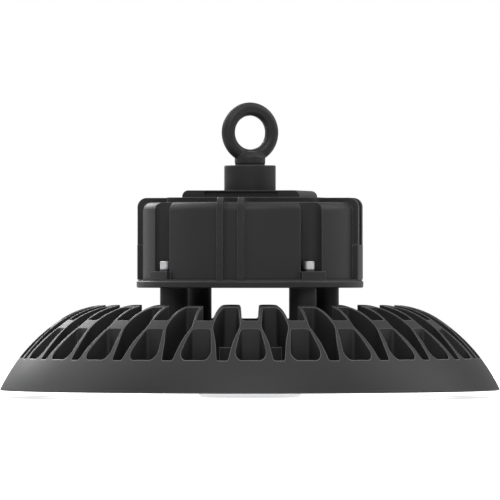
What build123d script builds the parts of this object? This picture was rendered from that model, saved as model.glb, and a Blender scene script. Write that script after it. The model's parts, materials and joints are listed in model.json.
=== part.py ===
from build123d import *

import os
from math import hypot

# Round industrial LED light, in millimetres.
# The origin is on the light's axis, at the lowest face of the lens, and +Z points up.
# X and Y run through the ribbed sides of the driver cover, and the photographed side faces -Y.

# Clearances shared by everything that fits together
screw_play = 0.15
fit_gap = 0.3
drill_overrun = 1.0

# Rim and dome of the heat sink
rim_radius = 160.0
rim_bottom_z = 4.6
rim_lip = 0.7
rim_edge_chamfer = 0.5
dome_top_z = 59.2
dome_flat_radius = 91.0
dome_shoulder_radius = 121.6
dome_shoulder_z = 49.8

# Stack of optics under the heat sink's floor
bezel_recess_radius = 150.0
bezel_thickness = 3.1
bezel_width = 19.0
bezel_inset = 0.3
lens_radius = 138.7
lens_thickness = 2.8
lens_boss_radius = 32.8
lens_boss_wall = 2.4
lens_boss_edge = 1.4
gasket_thickness = 1.5
gasket_width = 8.0
board_recess_depth = 2.5
led_board_radius = 129.0
led_board_thickness = 1.5
floor_thickness = 6.0

# Light emitters and the screws under the floor
led_side = 3.0
led_height = 0.9
led_ring_radii = (50.0, 72.0, 94.0, 116.0)
led_ring_step = 22.0
leds_per_ring_step = 6
board_screw_rings = (61.0, 105.0)
board_screws_per_ring = 6
board_screw_shank = 1.5
board_screw_head = 2.8
board_screw_head_height = 1.8
board_screw_grip = 4.0
bezel_screw_count = 12
bezel_screw_ring = 144.0
bezel_screw_shank = 2.0
bezel_screw_head = 3.8
bezel_screw_grip = 6.0

# Looped fins: outer windows, inner notches and the cells inside the loops
fin_count = 26
first_window_angle = -135.0
nose_tip_radius = 96.0
nose_corner_radius = 4.6
bar_inner_radius = 121.5
bar_outer_radius = 128.3
notch_inner_half = 6.4
notch_outer_half = 5.5
notch_corner_radius = 1.8
window_inner_half = 6.0
window_outer_half = 10.9
window_end_radius = 147.6
window_inner_corner = 2.0
window_outer_corner = 4.5
cell_nose_wall = 6.0
cell_start_half = 4.5
cell_start_corner = 2.0
cell_wide_radius = 126.3
cell_wide_half = 8.75
cell_wide_blend = 12.0
cell_bend_radius = 138.0
cell_bend_half = 5.4
cell_bend_blend = 20.0
cell_end_radius = 147.8
cell_end_half = 3.6
cell_end_corner = 1.5
stiffener_inner_radius = 104.0
stiffener_width = 8.0
stiffener_height = 12.2

# Posts that carry the driver, and the screws and leads in them
post_count = 4
first_post_angle = 45.0
post_ring_radius = 58.6
post_length = 19.0
post_width = 15.1
post_top_z = 70.2
base_screw_ring = 54.0
base_screw_angles = (-135.0, -45.0, 45.0)
base_screw_shank = 2.0
base_screw_head = 3.9
base_screw_grip = 11.0
lead_angle = 135.0
lead_ring = 53.6
lead_radius = 0.8
lead_spacing = 2.0
grommet_bore_radius = 2.1
grommet_wall = 0.7
grommet_flange = 0.6
grommet_flange_height = 1.2
grommet_reach = 2.0

# Driver base and its seal
base_radius = 72.6
base_thickness = 4.4
base_edge_chamfer = 0.6
driver_gasket_thickness = 0.8

# Driver cover: wall, channels, ribs and pads
cover_radius = 68.6
cover_wall = 3.2
cover_roof = 3.6
cover_height = 49.2
cover_edge_radius = 5.5
channel_radius = 8.35
ledge_radius = 71.7
ledge_width = 18.4
ledge_height = 5.2
rib_width = 4.0
rib_offset = 6.65
rib_radius = 71.7
rib_inner_radius = 34.0
rib_rise = 3.1
rib_corner_radius = 6.0
pad_radius = 72.3
pad_width = 18.8
pad_height = 22.2

# Driver cover: steps, frame and collar on its roof
step_length = 96.8
step_width = 72.0
step_corner = 6.0
step_rise = 3.2
frame_length = 76.0
frame_width = 66.0
frame_rise = 4.5
frame_end_width = 12.0
frame_side_width = 6.0
frame_end_rounding = 4.0
frame_slot_length = 48.0
frame_slot_depth = 1.6
frame_slot_lip = 0.8
collar_radius = 16.5
collar_top_z = 148.5
collar_edge_radius = 0.8

# Cover screws and their split washers
cover_screw_ring = 65.2
cover_screw_shank = 2.4
cover_screw_head = 3.7
cover_screw_head_height = 5.2
cover_screw_socket = 2.2
cover_screw_socket_depth = 2.6
cover_screw_edge = 0.4
lock_washer_radius = 3.75
lock_washer_thickness = 1.3
lock_washer_slit = 0.8

# Lifting eye with its seal, washer and nut
eye_neck_radius = 9.8
eye_neck_height = 7.7
eye_neck_chamfer = 3.0
eye_ring_radius = 15.4
eye_wire_radius = 3.95
eye_centre_z = 169.5
eye_turn = 33.0
eye_shank_radius = 4.0
eye_seal_thickness = 0.8
eye_washer_radius = 9.0
eye_washer_thickness = 1.6
eye_nut_radius = 7.5
eye_nut_height = 6.5
eye_thread_end = 2.0

# Driver electronics
driver_board_radius = 55.5
driver_board_thickness = 1.6
spacer_radius = 3.4
spacer_height = 9.0
spacer_ring = 49.0
spacer_angle = 30.0
driver_screw_shank = 1.5
driver_screw_head = 2.8
driver_screw_head_height = 2.0
driver_screw_grip = 3.5
core_length = 32.0
core_width = 24.0
core_height = 21.0
core_leg = 6.0
core_y = -24.0
winding_margin = 1.0
winding_height = 12.0
choke_radius = 11.0
choke_bore = 4.5
choke_height = 10.0
choke_rounding = 3.0
choke_x = 24.0
choke_y = 14.0
bulk_capacitor_radius = 8.0
bulk_capacitor_height = 26.0
bulk_capacitor_rounding = 1.0
bulk_capacitor_x = -32.0
bulk_capacitor_spacing = 19.0
film_capacitor_length = 18.0
film_capacitor_width = 8.0
film_capacitor_height = 13.0
film_capacitor_x = -12.0
film_capacitor_y = 24.0
cooler_length = 30.0
cooler_thickness = 3.0
cooler_height = 22.0
cooler_x = 44.0
transistor_width = 10.0
transistor_thickness = 4.5
transistor_height = 15.0
transistor_lift = 4.0
transistor_spacing = 14.0
terminal_length = 30.0
terminal_width = 11.0
terminal_height = 13.0
terminal_y = 42.0
terminal_entry_count = 3
terminal_entry_width = 6.0
terminal_entry_height = 6.0
terminal_entry_depth = 7.0

# Cable inlet at the back of the cover
inlet_z = 89.2
inlet_pad_width = 22.0
inlet_pad_height = 28.5
inlet_thread_radius = 8.0
inlet_washer_radius = 10.8
inlet_washer_thickness = 1.2
inlet_hex_radius = 9.8
inlet_hex_height = 5.0
inlet_spigot_radius = 8.4
inlet_spigot_height = 8.0
inlet_sleeve_radius = 6.0
inlet_sleeve_length = 8.0
inlet_cable_radius = 3.5
inlet_nut_radius = 10.6
inlet_nut_height = 14.0
inlet_nut_rounding = 4.0
inlet_nut_mouth = 4.6

# Places that follow from the sizes above
bezel_bottom_z = rim_bottom_z + bezel_inset
lens_bottom_z = bezel_bottom_z + bezel_thickness
lens_top_z = lens_bottom_z + lens_thickness
gasket_seat_z = lens_top_z + gasket_thickness
floor_bottom_z = gasket_seat_z + board_recess_depth
floor_top_z = floor_bottom_z + floor_thickness
led_board_bottom_z = floor_bottom_z - led_board_thickness
base_top_z = post_top_z + base_thickness
cover_bottom_z = base_top_z + driver_gasket_thickness
ledge_top_z = cover_bottom_z + ledge_height
cover_shoulder_z = cover_bottom_z + cover_height
ceiling_z = cover_shoulder_z - cover_roof
step_top_z = cover_shoulder_z + step_rise
frame_top_z = step_top_z + frame_rise
spacer_top_z = base_top_z + spacer_height
board_top_z = spacer_top_z + driver_board_thickness
lens_recess_radius = lens_radius + fit_gap
board_recess_radius = lens_recess_radius - gasket_width - fit_gap
fin_pitch = 360.0 / fin_count
inlet_pad_face = rib_radius

os.makedirs("parts", exist_ok=True)


def turned(*points):
    """Solid of revolution about Z, from the (radius, height) points of half its section."""
    with BuildPart() as piece:
        with BuildSketch(Plane.XZ):
            with BuildLine():
                Polyline(*points, close=True)
            make_face()
        revolve(axis=Axis.Z)
    return piece.part


def window(half_outline, corner_radii):
    """Outline along X, from (distance, half width) points and the radius of each corner."""
    near_side = [(distance, -half) for distance, half in half_outline]
    far_side = [(distance, half) for distance, half in reversed(half_outline)]
    radii = list(corner_radii) + list(reversed(corner_radii))
    with BuildSketch() as outline:
        with BuildLine():
            FilletPolyline(*near_side, *far_side, radius=radii, close=True)
        make_face()
    return outline.sketch


def countersunk_screw(face_z, tip_z, shank_radius, head_radius):
    """Flat-headed screw on the Z axis, whose head is flush with face_z."""
    head_depth = head_radius - shank_radius
    head_z = face_z + (head_depth if tip_z > face_z else -head_depth)
    return turned(
        (0, face_z),
        (head_radius, face_z),
        (shank_radius, head_z),
        (shank_radius, tip_z),
        (0, tip_z),
    )


def pan_screw(seat_z, tip_z, shank_radius, head_radius, head_height):
    """Pan-headed screw on the Z axis, whose head bears on seat_z."""
    head_z = seat_z + (head_height if tip_z < seat_z else -head_height)
    return turned(
        (0, head_z),
        (head_radius - screw_play, head_z),
        (head_radius, seat_z),
        (shank_radius, seat_z),
        (shank_radius, tip_z),
        (0, tip_z),
    )


# Heat sink: one die casting
fin_notch = window(
    (
        (nose_tip_radius - notch_inner_half, notch_inner_half),
        (bar_inner_radius, notch_outer_half),
    ),
    (0, notch_corner_radius),
)
fin_window = window(
    ((bar_outer_radius, window_inner_half), (window_end_radius, window_outer_half)),
    (window_inner_corner, window_outer_corner),
)
fin_cell = window(
    (
        (nose_tip_radius + cell_nose_wall, cell_start_half),
        (cell_wide_radius, cell_wide_half),
        (cell_bend_radius, cell_bend_half),
        (cell_end_radius, cell_end_half),
    ),
    (cell_start_corner, cell_wide_blend, cell_bend_blend, cell_end_corner),
)
board_screw_tip_z = floor_bottom_z + board_screw_grip
bezel_screw_tip_z = lens_bottom_z + bezel_screw_grip
base_screw_tip_z = post_top_z - base_screw_grip
lead_bore_radius = grommet_bore_radius + grommet_wall + screw_play

with BuildPart() as heat_sink:
    with BuildSketch(Plane.XZ) as dome_section:
        with BuildLine():
            Line((0, dome_top_z), (dome_flat_radius, dome_top_z))
            shoulder = TangentArc(
                (dome_flat_radius, dome_top_z),
                (dome_shoulder_radius, dome_shoulder_z),
                tangent=(1, 0),
            )
            flank = TangentArc(
                (dome_shoulder_radius, dome_shoulder_z),
                (rim_radius, rim_bottom_z + rim_lip),
                tangent=shoulder % 1,
            )
            Polyline(
                flank @ 1,
                (rim_radius, rim_bottom_z + rim_edge_chamfer),
                (rim_radius - rim_edge_chamfer, rim_bottom_z),
                (bezel_recess_radius, rim_bottom_z),
                (bezel_recess_radius, lens_bottom_z),
                (lens_recess_radius, lens_bottom_z),
                (lens_recess_radius, gasket_seat_z),
                (board_recess_radius, gasket_seat_z),
                (board_recess_radius, floor_bottom_z),
                (0, floor_bottom_z),
                (0, dome_top_z),
            )
        make_face()
    revolve(axis=Axis.Z)
    with BuildSketch(Plane.XY.offset(floor_top_z)) as openings:
        Circle(nose_tip_radius)
        with PolarLocations(0, fin_count, start_angle=first_window_angle):
            add(fin_notch)
            add(fin_window)
        with PolarLocations(0, fin_count, start_angle=first_window_angle + fin_pitch / 2):
            add(fin_cell)
        nose_corners = openings.vertices().filter_by(
            lambda corner: abs(hypot(corner.X, corner.Y) - nose_tip_radius) < fit_gap
        )
        fillet(nose_corners, nose_corner_radius)
    extrude(amount=dome_top_z - floor_top_z, mode=Mode.SUBTRACT)
    with BuildSketch(Plane.XY.offset(floor_top_z)):
        Circle(stiffener_inner_radius + stiffener_width)
        Circle(stiffener_inner_radius, mode=Mode.SUBTRACT)
    extrude(amount=stiffener_height)
    with BuildSketch(Plane.XY.offset(floor_top_z)):
        with PolarLocations(post_ring_radius, post_count, start_angle=first_post_angle):
            SlotOverall(post_length, post_width)
    extrude(amount=post_top_z - floor_top_z)
    with BuildSketch(Plane.XY.offset(post_top_z)):
        for angle in base_screw_angles:
            with PolarLocations(base_screw_ring, 1, start_angle=angle):
                Circle(base_screw_shank + screw_play)
    extrude(amount=-base_screw_grip - drill_overrun, mode=Mode.SUBTRACT)
    with BuildSketch(Plane.XY.offset(post_top_z)):
        with PolarLocations(lead_ring, 1, start_angle=lead_angle):
            Circle(lead_bore_radius)
    extrude(amount=floor_bottom_z - post_top_z, mode=Mode.SUBTRACT)
    with BuildSketch(Plane.XY.offset(floor_bottom_z)):
        for ring in board_screw_rings:
            with PolarLocations(ring, board_screws_per_ring):
                Circle(board_screw_shank + screw_play)
    extrude(amount=board_screw_grip + fit_gap, mode=Mode.SUBTRACT)
    with BuildSketch(Plane.XY.offset(lens_bottom_z)):
        with PolarLocations(bezel_screw_ring, bezel_screw_count):
            Circle(bezel_screw_shank + screw_play)
    extrude(amount=bezel_screw_grip + fit_gap, mode=Mode.SUBTRACT)
heat_sink.part.label = "heat_sink"
export_step(heat_sink.part, "parts/heat_sink.step")


# LED board, its emitters and its screws
with BuildPart() as led_board:
    with BuildSketch(Plane.XY.offset(led_board_bottom_z)):
        Circle(led_board_radius)
        for ring in board_screw_rings:
            with PolarLocations(ring, board_screws_per_ring):
                Circle(board_screw_shank + screw_play, mode=Mode.SUBTRACT)
    extrude(amount=led_board_thickness)
led_board.part.label = "led_board"
export_step(led_board.part, "parts/led_board.step")

with BuildPart() as led_chips:
    with BuildSketch(Plane.XY.offset(led_board_bottom_z)):
        for ring in led_ring_radii:
            ring_count = leds_per_ring_step * round(ring / led_ring_step)
            with PolarLocations(ring, ring_count):
                Rectangle(led_side, led_side)
    extrude(amount=-led_height)
led_chips.part.label = "led_chips"
export_step(led_chips.part, "parts/led_chips.step")

board_screw = pan_screw(
    led_board_bottom_z,
    board_screw_tip_z,
    board_screw_shank,
    board_screw_head,
    board_screw_head_height,
)
with BuildPart() as board_screws:
    for ring in board_screw_rings:
        with PolarLocations(ring, board_screws_per_ring):
            add(board_screw)
board_screws.part.label = "board_screws"
export_step(board_screws.part, "parts/board_screws.step")


# Lens, its gasket, and the ring that holds it
with BuildPart() as lens:
    add(
        turned(
            (0, 0),
            (lens_boss_radius - lens_boss_edge, 0),
            (lens_boss_radius, lens_boss_edge),
            (lens_boss_radius, lens_bottom_z),
            (lens_radius, lens_bottom_z),
            (lens_radius, lens_top_z),
            (lens_boss_radius - lens_boss_wall, lens_top_z),
            (lens_boss_radius - lens_boss_wall, lens_boss_wall),
            (0, lens_boss_wall),
        )
    )
lens.part.label = "lens"
export_step(lens.part, "parts/lens.step")

with BuildPart() as lens_gasket:
    with BuildSketch(Plane.XY.offset(lens_top_z)):
        Circle(lens_radius)
        Circle(lens_radius - gasket_width + fit_gap, mode=Mode.SUBTRACT)
    extrude(amount=gasket_thickness)
lens_gasket.part.label = "lens_gasket"
export_step(lens_gasket.part, "parts/lens_gasket.step")

bezel_radius = bezel_recess_radius - fit_gap
bezel_sink_depth = bezel_screw_head - bezel_screw_shank
with BuildPart() as bezel_ring:
    with BuildSketch(Plane.XY.offset(bezel_bottom_z)):
        Circle(bezel_radius)
        Circle(bezel_radius - bezel_width, mode=Mode.SUBTRACT)
    extrude(amount=bezel_thickness)
    bezel_sink = turned(
        (0, bezel_bottom_z),
        (bezel_screw_head + screw_play, bezel_bottom_z),
        (bezel_screw_shank + screw_play, bezel_bottom_z + bezel_sink_depth),
        (bezel_screw_shank + screw_play, lens_bottom_z),
        (0, lens_bottom_z),
    )
    with PolarLocations(bezel_screw_ring, bezel_screw_count):
        add(bezel_sink, mode=Mode.SUBTRACT)
bezel_ring.part.label = "bezel_ring"
export_step(bezel_ring.part, "parts/bezel_ring.step")

bezel_screw = countersunk_screw(
    bezel_bottom_z, bezel_screw_tip_z, bezel_screw_shank, bezel_screw_head
)
with BuildPart() as bezel_screws:
    with PolarLocations(bezel_screw_ring, bezel_screw_count):
        add(bezel_screw)
bezel_screws.part.label = "bezel_screws"
export_step(bezel_screws.part, "parts/bezel_screws.step")


# Driver base, the screws that hold it to three posts, and the lead entry over the fourth
base_sink_depth = base_screw_head - base_screw_shank
with BuildPart() as driver_base:
    with BuildSketch(Plane.XY.offset(post_top_z)):
        Circle(base_radius)
        with PolarLocations(lead_ring, 1, start_angle=lead_angle):
            Circle(lead_bore_radius, mode=Mode.SUBTRACT)
        with PolarLocations(cover_screw_ring, post_count, start_angle=first_post_angle):
            Circle(cover_screw_shank + screw_play, mode=Mode.SUBTRACT)
    extrude(amount=base_thickness)
    rim_edges = driver_base.edges().filter_by(GeomType.CIRCLE).sort_by(SortBy.RADIUS)[-2:]
    chamfer(rim_edges, base_edge_chamfer)
    base_sink = turned(
        (0, base_top_z),
        (base_screw_head + screw_play, base_top_z),
        (base_screw_shank + screw_play, base_top_z - base_sink_depth),
        (base_screw_shank + screw_play, post_top_z),
        (0, post_top_z),
    )
    for angle in base_screw_angles:
        with PolarLocations(base_screw_ring, 1, start_angle=angle):
            add(base_sink, mode=Mode.SUBTRACT)
    with BuildSketch(Plane.XY.offset(base_top_z)):
        with PolarLocations(spacer_ring, post_count, start_angle=spacer_angle):
            Circle(driver_screw_shank + screw_play)
    extrude(amount=-driver_screw_grip - fit_gap, mode=Mode.SUBTRACT)
driver_base.part.label = "driver_base"
export_step(driver_base.part, "parts/driver_base.step")

base_screw = countersunk_screw(
    base_top_z, base_screw_tip_z, base_screw_shank, base_screw_head
)
with BuildPart() as base_screws:
    for angle in base_screw_angles:
        with PolarLocations(base_screw_ring, 1, start_angle=angle):
            add(base_screw)
base_screws.part.label = "base_screws"
export_step(base_screws.part, "parts/base_screws.step")

with BuildPart() as lead_grommet:
    with BuildSketch(Plane.XY.offset(post_top_z - grommet_reach)):
        with PolarLocations(lead_ring, 1, start_angle=lead_angle):
            Circle(grommet_bore_radius + grommet_wall)
    extrude(amount=grommet_reach + base_thickness)
    with BuildSketch(Plane.XY.offset(base_top_z)):
        with PolarLocations(lead_ring, 1, start_angle=lead_angle):
            Circle(grommet_bore_radius + grommet_wall + grommet_flange)
    extrude(amount=grommet_flange_height)
    with BuildSketch(Plane.XY.offset(post_top_z - grommet_reach)):
        with PolarLocations(lead_ring, 1, start_angle=lead_angle):
            Circle(grommet_bore_radius)
    extrude(
        amount=grommet_reach + base_thickness + grommet_flange_height,
        mode=Mode.SUBTRACT,
    )
lead_grommet.part.label = "lead_grommet"
export_step(lead_grommet.part, "parts/lead_grommet.step")

with BuildPart() as led_leads:
    with BuildSketch(Plane.XY.offset(floor_bottom_z)):
        with PolarLocations(lead_ring, 1, start_angle=lead_angle):
            with Locations((0, -lead_spacing / 2), (0, lead_spacing / 2)):
                Circle(lead_radius)
    extrude(amount=spacer_top_z - floor_bottom_z)
led_leads.part.label = "led_leads"
export_step(led_leads.part, "parts/led_leads.step")


# Driver cover: one casting, hollow from below
cover_inner_radius = cover_radius - cover_wall
with BuildSketch() as cavity_outline:
    Circle(cover_inner_radius)
    with PolarLocations(cover_radius, post_count, start_angle=first_post_angle):
        Circle(channel_radius + cover_wall, mode=Mode.SUBTRACT)

rib_height = cover_height + rib_rise
with BuildPart() as cover_rib:
    with BuildSketch(Plane.XZ.offset(-rib_width / 2)) as rib_outline:
        with Locations((rib_inner_radius, cover_bottom_z)):
            Rectangle(
                rib_radius - rib_inner_radius,
                rib_height,
                align=(Align.MIN, Align.MIN),
            )
        outer_corners = rib_outline.vertices().group_by(Axis.X)[-1]
        fillet(outer_corners.sort_by(Axis.Y)[-1], rib_corner_radius)
    extrude(amount=rib_width)

with BuildPart() as driver_cover:
    with BuildSketch(Plane.XY.offset(cover_bottom_z)):
        Circle(cover_radius)
    extrude(amount=cover_height)
    fillet(driver_cover.edges().sort_by(Axis.Z)[-1], cover_edge_radius)
    with BuildSketch(Plane.XY.offset(ledge_top_z)):
        with PolarLocations(cover_radius, post_count, start_angle=first_post_angle):
            Circle(channel_radius)
    extrude(amount=cover_height, mode=Mode.SUBTRACT)
    with BuildSketch(Plane.XY.offset(cover_bottom_z)):
        with PolarLocations(0, post_count, start_angle=first_post_angle):
            Rectangle(ledge_radius, ledge_width, align=(Align.MIN, Align.CENTER))
        Circle(ledge_radius, mode=Mode.INTERSECT)
    extrude(amount=ledge_height)
    with PolarLocations(0, post_count):
        with Locations((0, -rib_offset), (0, rib_offset)):
            add(cover_rib.part)
    with BuildSketch(Plane.XY.offset(cover_bottom_z)):
        Circle(pad_radius)
        Rectangle(2 * pad_radius, pad_width, mode=Mode.INTERSECT)
        Circle(cover_inner_radius, mode=Mode.SUBTRACT)
    extrude(amount=pad_height)
    with BuildSketch(Plane.XY.offset(cover_bottom_z)):
        Rectangle(inlet_pad_width, inlet_pad_face, align=(Align.CENTER, Align.MIN))
    extrude(amount=inlet_pad_height)
    with BuildSketch(Plane.XY.offset(ceiling_z)):
        RectangleRounded(step_length, step_width, step_corner)
    extrude(amount=step_top_z - ceiling_z)
    with BuildSketch(Plane.XY.offset(step_top_z)):
        Rectangle(frame_length, frame_width)
    extrude(amount=frame_rise)
    frame_ends = driver_cover.edges().group_by(Axis.Z)[-1].filter_by(Axis.Y)
    fillet(frame_ends, frame_end_rounding)
    with BuildSketch(Plane.XY.offset(frame_top_z)):
        Rectangle(
            frame_length - 2 * frame_end_width,
            frame_width - 2 * frame_side_width,
        )
    extrude(amount=-frame_rise, mode=Mode.SUBTRACT)
    with BuildSketch(Plane.XY.offset(step_top_z)):
        with Locations((0, -frame_width / 2), (0, frame_width / 2)):
            Rectangle(frame_slot_length, 2 * frame_slot_depth)
    extrude(amount=frame_rise - frame_slot_lip, mode=Mode.SUBTRACT)
    with BuildSketch(Plane.XY.offset(step_top_z)):
        Circle(collar_radius)
    extrude(amount=collar_top_z - step_top_z)
    fillet(driver_cover.edges().sort_by(Axis.Z)[-1], collar_edge_radius)
    with BuildSketch(Plane.XY.offset(cover_bottom_z)):
        add(cavity_outline.sketch)
    extrude(amount=ceiling_z - cover_bottom_z, mode=Mode.SUBTRACT)
    with BuildSketch(Plane.XY.offset(cover_bottom_z)):
        with PolarLocations(cover_screw_ring, post_count, start_angle=first_post_angle):
            Circle(cover_screw_shank + screw_play)
    extrude(amount=ledge_height, mode=Mode.SUBTRACT)
    with BuildSketch(Plane.XY.offset(ceiling_z)):
        Circle(eye_shank_radius + screw_play)
    extrude(amount=collar_top_z - ceiling_z, mode=Mode.SUBTRACT)
    with BuildSketch(Plane.XZ.offset(-inlet_pad_face)):
        with Locations((0, inlet_z)):
            Circle(inlet_thread_radius + screw_play)
    extrude(amount=inlet_pad_face - cover_inner_radius + cover_wall, mode=Mode.SUBTRACT)
driver_cover.part.label = "driver_cover"
export_step(driver_cover.part, "parts/driver_cover.step")

with BuildPart() as driver_gasket:
    with BuildSketch(Plane.XY.offset(base_top_z)):
        Circle(cover_radius)
        add(cavity_outline.sketch, mode=Mode.SUBTRACT)
        with PolarLocations(cover_screw_ring, post_count, start_angle=first_post_angle):
            Circle(cover_screw_shank + screw_play, mode=Mode.SUBTRACT)
    extrude(amount=driver_gasket_thickness)
driver_gasket.part.label = "driver_gasket"
export_step(driver_gasket.part, "parts/driver_gasket.step")


# Screws and split washers in the cover's channels
washer_top_z = ledge_top_z + lock_washer_thickness
screw_top_z = washer_top_z + cover_screw_head_height
with BuildPart() as cover_screw:
    with BuildSketch(Plane.XY.offset(washer_top_z)):
        Circle(cover_screw_head)
    extrude(amount=cover_screw_head_height)
    chamfer(cover_screw.edges().sort_by(Axis.Z)[-1], cover_screw_edge)
    with BuildSketch(Plane.XY.offset(screw_top_z)):
        RegularPolygon(cover_screw_socket, side_count=6)
    extrude(amount=-cover_screw_socket_depth, mode=Mode.SUBTRACT)
    with BuildSketch(Plane.XY.offset(washer_top_z)):
        Circle(cover_screw_shank)
    extrude(amount=post_top_z - washer_top_z)
with BuildPart() as cover_screws:
    with PolarLocations(cover_screw_ring, post_count, start_angle=first_post_angle):
        add(cover_screw.part)
cover_screws.part.label = "cover_screws"
export_step(cover_screws.part, "parts/cover_screws.step")

with BuildPart() as cover_lock_washers:
    with BuildSketch(Plane.XY.offset(ledge_top_z)):
        with PolarLocations(cover_screw_ring, post_count, start_angle=first_post_angle):
            Circle(lock_washer_radius)
            Circle(cover_screw_shank + screw_play, mode=Mode.SUBTRACT)
            Rectangle(
                lock_washer_radius,
                lock_washer_slit,
                align=(Align.MAX, Align.CENTER),
                mode=Mode.SUBTRACT,
            )
    extrude(amount=lock_washer_thickness)
cover_lock_washers.part.label = "cover_lock_washers"
export_step(cover_lock_washers.part, "parts/cover_lock_washers.step")


# Lifting eye, its seal on the collar, and the washer and nut under the roof
eye_seat_z = collar_top_z + eye_seal_thickness
washer_bottom_z = ceiling_z - eye_washer_thickness
nut_bottom_z = washer_bottom_z - eye_nut_height
with BuildPart() as eye_bolt:
    with BuildSketch(Plane.XY.offset(eye_seat_z)):
        Circle(eye_neck_radius)
    extrude(amount=eye_neck_height)
    chamfer(eye_bolt.edges().sort_by(Axis.Z)[-1], eye_neck_chamfer)
    with BuildSketch(Plane.XY.offset(nut_bottom_z - eye_thread_end)):
        Circle(eye_shank_radius)
    extrude(amount=eye_seat_z - nut_bottom_z + eye_thread_end)
    with Locations(Location((0, 0, eye_centre_z), (0, 0, eye_turn))):
        Torus(eye_ring_radius, eye_wire_radius, rotation=(90, 0, 0))
eye_bolt.part.label = "eye_bolt"
export_step(eye_bolt.part, "parts/eye_bolt.step")

with BuildPart() as eye_seal:
    with BuildSketch(Plane.XY.offset(collar_top_z)):
        Circle(eye_neck_radius - fit_gap)
        Circle(eye_shank_radius + screw_play, mode=Mode.SUBTRACT)
    extrude(amount=eye_seal_thickness)
eye_seal.part.label = "eye_seal"
export_step(eye_seal.part, "parts/eye_seal.step")

with BuildPart() as eye_washer:
    with BuildSketch(Plane.XY.offset(washer_bottom_z)):
        Circle(eye_washer_radius)
        Circle(eye_shank_radius + screw_play, mode=Mode.SUBTRACT)
    extrude(amount=eye_washer_thickness)
eye_washer.part.label = "eye_washer"
export_step(eye_washer.part, "parts/eye_washer.step")

with BuildPart() as eye_nut:
    with BuildSketch(Plane.XY.offset(nut_bottom_z)):
        RegularPolygon(eye_nut_radius, side_count=6)
        Circle(eye_shank_radius + screw_play, mode=Mode.SUBTRACT)
    extrude(amount=eye_nut_height)
eye_nut.part.label = "eye_nut"
export_step(eye_nut.part, "parts/eye_nut.step")


# Driver board on its spacers
with BuildPart() as board_spacers:
    with BuildSketch(Plane.XY.offset(base_top_z)):
        with PolarLocations(spacer_ring, post_count, start_angle=spacer_angle):
            Circle(spacer_radius)
            Circle(driver_screw_shank + screw_play, mode=Mode.SUBTRACT)
    extrude(amount=spacer_height)
board_spacers.part.label = "board_spacers"
export_step(board_spacers.part, "parts/board_spacers.step")

with BuildPart() as driver_board:
    with BuildSketch(Plane.XY.offset(spacer_top_z)):
        Circle(driver_board_radius)
        with PolarLocations(spacer_ring, post_count, start_angle=spacer_angle):
            Circle(driver_screw_shank + screw_play, mode=Mode.SUBTRACT)
    extrude(amount=driver_board_thickness)
driver_board.part.label = "driver_board"
export_step(driver_board.part, "parts/driver_board.step")

driver_screw = pan_screw(
    board_top_z,
    base_top_z - driver_screw_grip,
    driver_screw_shank,
    driver_screw_head,
    driver_screw_head_height,
)
with BuildPart() as driver_board_screws:
    with PolarLocations(spacer_ring, post_count, start_angle=spacer_angle):
        add(driver_screw)
driver_board_screws.part.label = "driver_board_screws"
export_step(driver_board_screws.part, "parts/driver_board_screws.step")


# Components on the driver board
winding_length = core_length - 2 * core_leg
with BuildPart() as transformer:
    with BuildSketch(Plane.XY.offset(board_top_z)):
        with Locations((0, core_y)):
            Rectangle(core_length, core_width)
    extrude(amount=core_height)
    with BuildSketch(Plane.XY.offset(board_top_z)):
        with Locations((0, core_y)):
            Rectangle(winding_length, core_width)
    extrude(amount=core_height, mode=Mode.SUBTRACT)
    with BuildSketch(Plane.XY.offset(board_top_z + core_height - core_leg)):
        with Locations((0, core_y)):
            Rectangle(core_length, core_width)
    extrude(amount=core_leg)
    with BuildSketch(Plane.XY.offset(board_top_z)):
        with Locations((0, core_y)):
            RectangleRounded(
                winding_length,
                core_width + 2 * winding_margin,
                winding_margin,
            )
    extrude(amount=winding_height)
    with BuildSketch(Plane.XY.offset(board_top_z)):
        with Locations((0, core_y)):
            Rectangle(core_leg, core_width)
    extrude(amount=core_height)
transformer.part.label = "transformer"
export_step(transformer.part, "parts/transformer.step")

with BuildPart() as choke:
    with BuildSketch(Plane.XY.offset(board_top_z)):
        with Locations((choke_x, choke_y)):
            Circle(choke_radius)
            Circle(choke_bore, mode=Mode.SUBTRACT)
    extrude(amount=choke_height)
    choke_rims = choke.edges().filter_by(GeomType.CIRCLE).sort_by(SortBy.RADIUS)[-2:]
    fillet(choke_rims, choke_rounding)
choke.part.label = "choke"
export_step(choke.part, "parts/choke.step")

with BuildPart() as bulk_capacitors:
    with BuildSketch(Plane.XY.offset(board_top_z)):
        with Locations((bulk_capacitor_x, 0)):
            with GridLocations(0, bulk_capacitor_spacing, 1, 2):
                Circle(bulk_capacitor_radius)
    extrude(amount=bulk_capacitor_height)
    fillet(bulk_capacitors.edges().group_by(Axis.Z)[-1], bulk_capacitor_rounding)
bulk_capacitors.part.label = "bulk_capacitors"
export_step(bulk_capacitors.part, "parts/bulk_capacitors.step")

with BuildPart() as film_capacitor:
    with BuildSketch(Plane.XY.offset(board_top_z)):
        with Locations((film_capacitor_x, film_capacitor_y)):
            Rectangle(film_capacitor_length, film_capacitor_width)
    extrude(amount=film_capacitor_height)
film_capacitor.part.label = "film_capacitor"
export_step(film_capacitor.part, "parts/film_capacitor.step")

with BuildPart() as power_cooler:
    with BuildSketch(Plane.XY.offset(board_top_z)):
        with Locations((cooler_x, 0)):
            Rectangle(cooler_thickness, cooler_length)
    extrude(amount=cooler_height)
power_cooler.part.label = "power_cooler"
export_step(power_cooler.part, "parts/power_cooler.step")

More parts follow.
